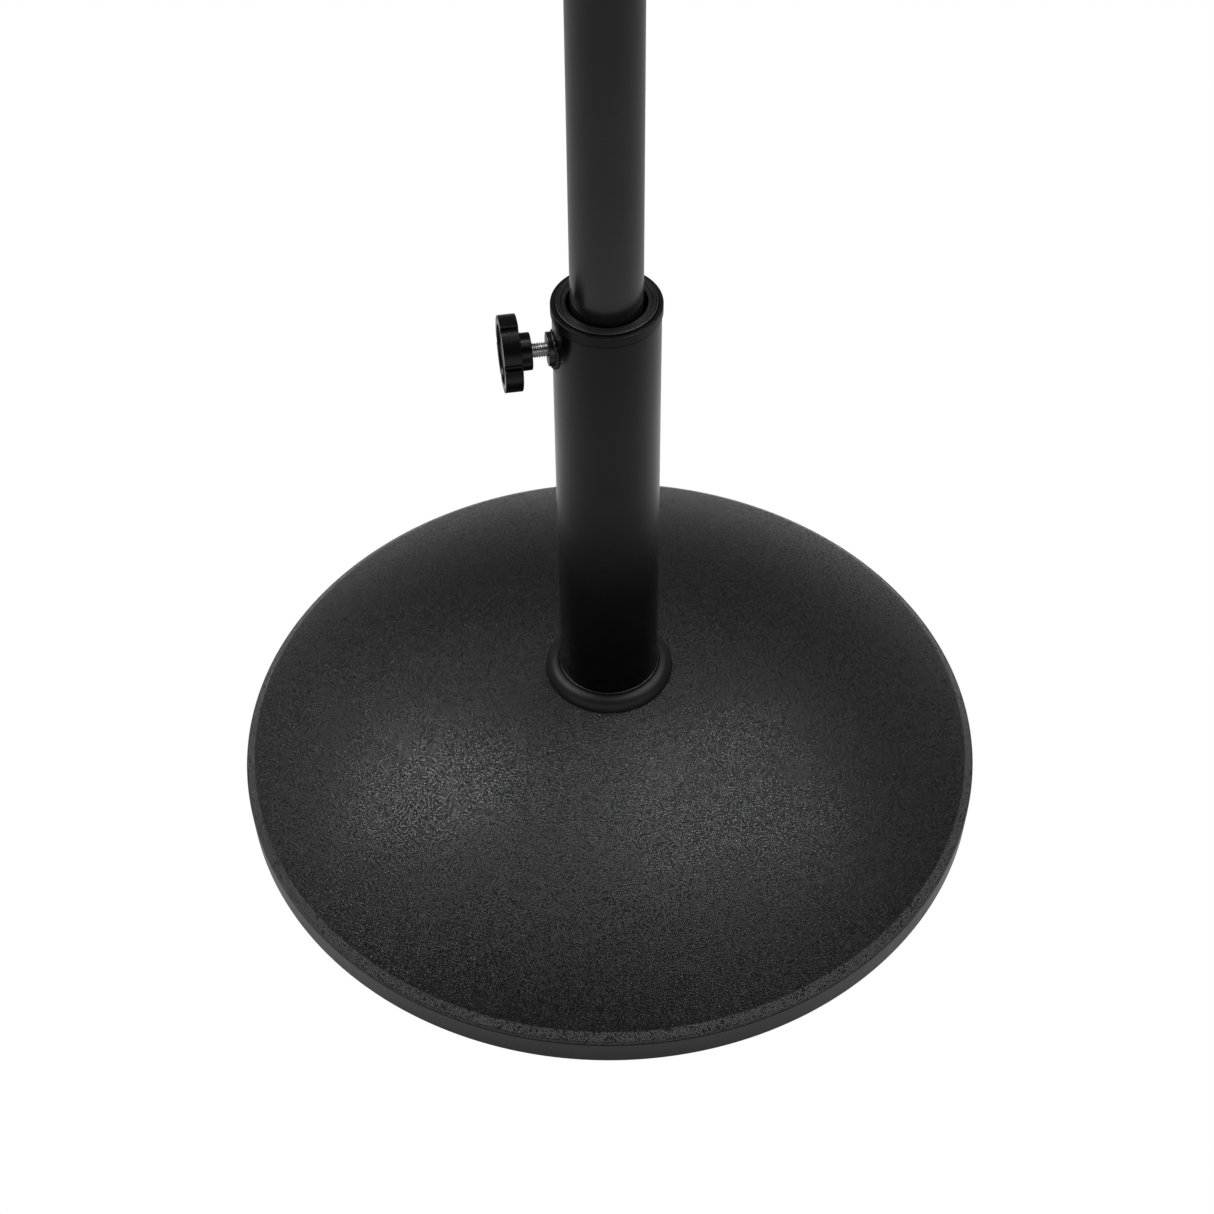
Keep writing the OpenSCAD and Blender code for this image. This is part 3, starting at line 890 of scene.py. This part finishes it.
def build_knob_disc():
    """Slightly domed disc in the knob's pocket."""
    r, t0, t1 = knob_disc.r, knob_disc.t0, knob_disc.t1
    corners = [(0, t0), (r, t0, 0.2), (r, t1 + 0.35, 0.5), (r * 0.5, t1 + 0.6, 3), (0, t1 + 0.62)]
    return turned("knob_disc", rounded(corners, closed=False), 96, False, on_screw)


place(build_knob_disc(), "knob", ["knob_cap"], "knob_cap_plastic")


# ---------------------------------------------------------------- pole

def build_pole():
    """Open tube with rounded ends."""
    wall = 1.2
    corners = [(pole.r - wall, pole.z0, 0.2), (pole.r, pole.z0, 0.4), (pole.r, pole.z1, 0.6),
               (pole.r - wall, pole.z1, 0.3)]
    return turned("pole_coated", rounded(corners), 192)


place(build_pole(), "pole", ["lower_pole"], "pole_coating")


def build_coupler():
    """Sleeve in the pole's upper end, drawn in above it to a spigot for the upper pole."""
    spigot = coupler.r - 0.6
    bore = coupler.r - 1.8
    corners = [(bore, coupler.z0, 0.3), (coupler.r, coupler.z0, 0.4), (coupler.r, pole.z1, 0.5),
               (spigot, pole.z1 + 1, 0.5), (spigot, coupler.z1 - 2, 1.2), (spigot - 0.7, coupler.z1, 0.4),
               (bore, coupler.z1, 0.3)]
    return turned("coupler_swaged", rounded(corners), 160)


place(build_coupler(), "pole", ["pole_coupler"], "coupler_steel")


def build_rivets():
    """Domed blind rivets with the snapped stem showing in the middle of each head."""
    bm = bmesh.new()
    low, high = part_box("coupler_rivets")
    level, out, inner = (low.z + high.z) / 2 / MM, high.y / MM, pole.r - 3.3
    head_z = pole.r + 0.02
    dome_r = 8.0
    profile = [(0, inner), (2.3, inner), (2.3, head_z), (4.3, head_z), (4.5, head_z + 0.3)]
    profile += arc(0, out - dome_r, dome_r, 58, 80, 7)
    profile += [(1.2, out - 0.15), (1.05, out - 0.5), (0.9, out - 0.5), (0.8, out - 0.2), (0, out - 0.15)]
    for side in (-1, 1):
        outwards = Matrix.Rotation(math.radians(-90 * side), 4, "X")
        turn(bm, profile, 48, False, Matrix.Translation((0, 0, level)) @ outwards)
    return make_object("rivets_domed", bm)


place(build_rivets(), "pole", ["coupler_rivets"], "rivet_steel")

CAD_SLOTS = {
    "concrete_ballast": "concrete", "tube_floor_plate": "plate_coating", "anchor_bolt": "zinc_steel",
    "anchor_lock_washer": "zinc_steel", "anchor_washer": "zinc_steel", "screw_tip": "tip_nylon",
    "pole_foot_plug": "plug_plastic",
}
for node, slot in CAD_SLOTS.items():
    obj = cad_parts[node]
    obj.data.materials.clear()
    obj.data.materials.append(MATERIALS[slot])


# ---------------------------------------------------------------- camera, floor and light

scene = bpy.context.scene
scene.view_settings.view_transform = "Standard"

# Camera found by fitting the round edges of the base, tube and pole
PITCH_DOWN = 47.13
YAW = -8.941
ROLL = -0.42
camera_data = bpy.data.cameras.new("camera")
camera_data.sensor_width = 36
camera_data.lens = 73.25
camera = bpy.data.objects.new("camera", camera_data)
camera.location = (-0.15247, -0.96263, 1.18545)
camera.rotation_mode = "QUATERNION"
camera.rotation_quaternion = (Matrix.Rotation(math.radians(YAW), 3, "Z")
                              @ Matrix.Rotation(math.radians(90 - PITCH_DOWN), 3, "X")
                              @ Matrix.Rotation(math.radians(ROLL), 3, "Z")).to_quaternion()
scene.collection.objects.link(camera)
scene.camera = camera

# Level directions away from the camera and to its right
BACK = Vector((0.1564, 0.9877, 0))
RIGHT = Vector((0.9877, -0.1564, 0))


def ramp(tree, value, low, high, out_low, out_high):
    """Smooth step from out_low to out_high as the value goes from low to high."""
    node = tree.nodes.new("ShaderNodeMapRange")
    node.interpolation_type = "SMOOTHSTEP"
    tree.links.new(value, node.inputs["Value"])
    for key, number in (("From Min", low), ("From Max", high), ("To Min", out_low), ("To Max", out_high)):
        node.inputs[key].default_value = number
    return node.outputs["Result"]


def floor_material():
    """Plain white in view; to the object it is pale paper with a soft painted pool of light round the base,
    an emission that stands in for light on the floor.
    """
    material = bpy.data.materials.new("pale_floor")
    material.use_nodes = True
    tree = material.node_tree
    tree.nodes.clear()
    output = tree.nodes.new("ShaderNodeOutputMaterial")
    mix = tree.nodes.new("ShaderNodeMixShader")
    path = tree.nodes.new("ShaderNodeLightPath")
    paper = tree.nodes.new("ShaderNodeBsdfDiffuse")
    paper.inputs["Color"].default_value = (0.40, 0.40, 0.40, 1)
    painted_light_pool = tree.nodes.new("ShaderNodeEmission")
    both = tree.nodes.new("ShaderNodeAddShader")
    white = tree.nodes.new("ShaderNodeEmission")
    white.inputs["Color"].default_value = (1, 1, 1, 1)
    white.inputs["Strength"].default_value = 1.0
    spot = tree.nodes.new("ShaderNodeTexCoord")
    away = tree.nodes.new("ShaderNodeVectorMath")
    away.operation = "LENGTH"
    tree.links.new(spot.outputs["Object"], away.inputs[0])
    # Painted pool of light: the floor emits round the base, strongest within 0.30 m and fading out by 0.56 m.
    fade = ramp(tree, away.outputs["Value"], 0.30, 0.56, 0.36, 0.0)
    tree.links.new(fade, painted_light_pool.inputs["Strength"])
    tree.links.new(paper.outputs[0], both.inputs[0])
    tree.links.new(painted_light_pool.outputs[0], both.inputs[1])
    tree.links.new(path.outputs["Is Camera Ray"], mix.inputs[0])
    tree.links.new(both.outputs[0], mix.inputs[1])
    tree.links.new(white.outputs[0], mix.inputs[2])
    tree.links.new(mix.outputs[0], output.inputs["Surface"])
    return material


def build_floor():
    """Round sheet for the stage only, under the feet."""
    bm = bmesh.new()
    bmesh.ops.create_circle(bm, cap_ends=True, radius=12, segments=96)
    mesh = bpy.data.meshes.new("floor")
    bm.to_mesh(mesh)
    bm.free()
    mesh.materials.append(floor_material())
    floor = bpy.data.objects.new("floor", mesh)
    scene.collection.objects.link(floor)


def softbox(name, azimuth, elevation, distance, size, radiance):
    """Soft light, at an azimuth from the camera's side, positive to its right, and an elevation."""
    a, e = math.radians(azimuth), math.radians(elevation)
    flat = -BACK * math.cos(a) + RIGHT * math.sin(a)
    towards = (flat * math.cos(e) + Vector((0, 0, math.sin(e)))).normalized()
    data = bpy.data.lights.new(name, "AREA")
    data.shape = "RECTANGLE"
    data.size, data.size_y = size
    data.energy = radiance * math.pi * size[0] * size[1]
    lamp = bpy.data.objects.new(name, data)
    lamp.location = towards * distance + Vector((0, 0, 0.1))
    lamp.rotation_mode = "QUATERNION"
    lamp.rotation_quaternion = (-towards).to_track_quat("-Z", "Y")
    scene.collection.objects.link(lamp)


def build_world():
    """White in view; to the object it is dim, darker in front, with a wash of light low in front."""
    world = bpy.data.worlds.new("studio")
    scene.world = world
    world.use_nodes = True
    tree = world.node_tree
    tree.nodes.clear()
    output = tree.nodes.new("ShaderNodeOutputWorld")
    background = tree.nodes.new("ShaderNodeBackground")
    background.inputs["Color"].default_value = (1, 1, 1, 1)
    direction = tree.nodes.new("ShaderNodeTexCoord").outputs["Generated"]
    along = tree.nodes.new("ShaderNodeVectorMath")
    along.operation = "DOT_PRODUCT"
    along.inputs[1].default_value = BACK
    tree.links.new(direction, along.inputs[0])
    rise = tree.nodes.new("ShaderNodeSeparateXYZ")
    tree.links.new(direction, rise.inputs[0])
    lift = tree.nodes.new("ShaderNodeMath")
    lift.operation = "MULTIPLY"
    tree.links.new(ramp(tree, rise.outputs["Z"], 0.12, 0.5, 0.85, 1.0), lift.inputs[0])
    tree.links.new(ramp(tree, along.outputs["Value"], -0.6, 0.2, 0.04, 0.118), lift.inputs[1])
    wash = tree.nodes.new("ShaderNodeMath")
    wash.operation = "MULTIPLY_ADD"
    tree.links.new(ramp(tree, along.outputs["Value"], 0.0, -0.5, 0.0, 1.0), wash.inputs[0])
    tree.links.new(ramp(tree, rise.outputs["Z"], 0.3, 0.6, 1.0, 0.0), wash.inputs[1])
    tree.links.new(lift.outputs[0], wash.inputs[2])
    path = tree.nodes.new("ShaderNodeLightPath")
    choose = tree.nodes.new("ShaderNodeMix")
    choose.data_type = "FLOAT"
    choose.inputs[3].default_value = 1.0
    tree.links.new(path.outputs["Is Camera Ray"], choose.inputs[0])
    tree.links.new(wash.outputs[0], choose.inputs[2])
    tree.links.new(choose.outputs[0], background.inputs["Strength"])
    tree.links.new(background.outputs[0], output.inputs["Surface"])


build_floor()
softbox("softbox_left", -117, 53, 1.9, (0.65, 1.0), 9.6)
softbox("softbox_right", 118, 66, 1.9, (1.1, 1.4), 5.0)
build_world()
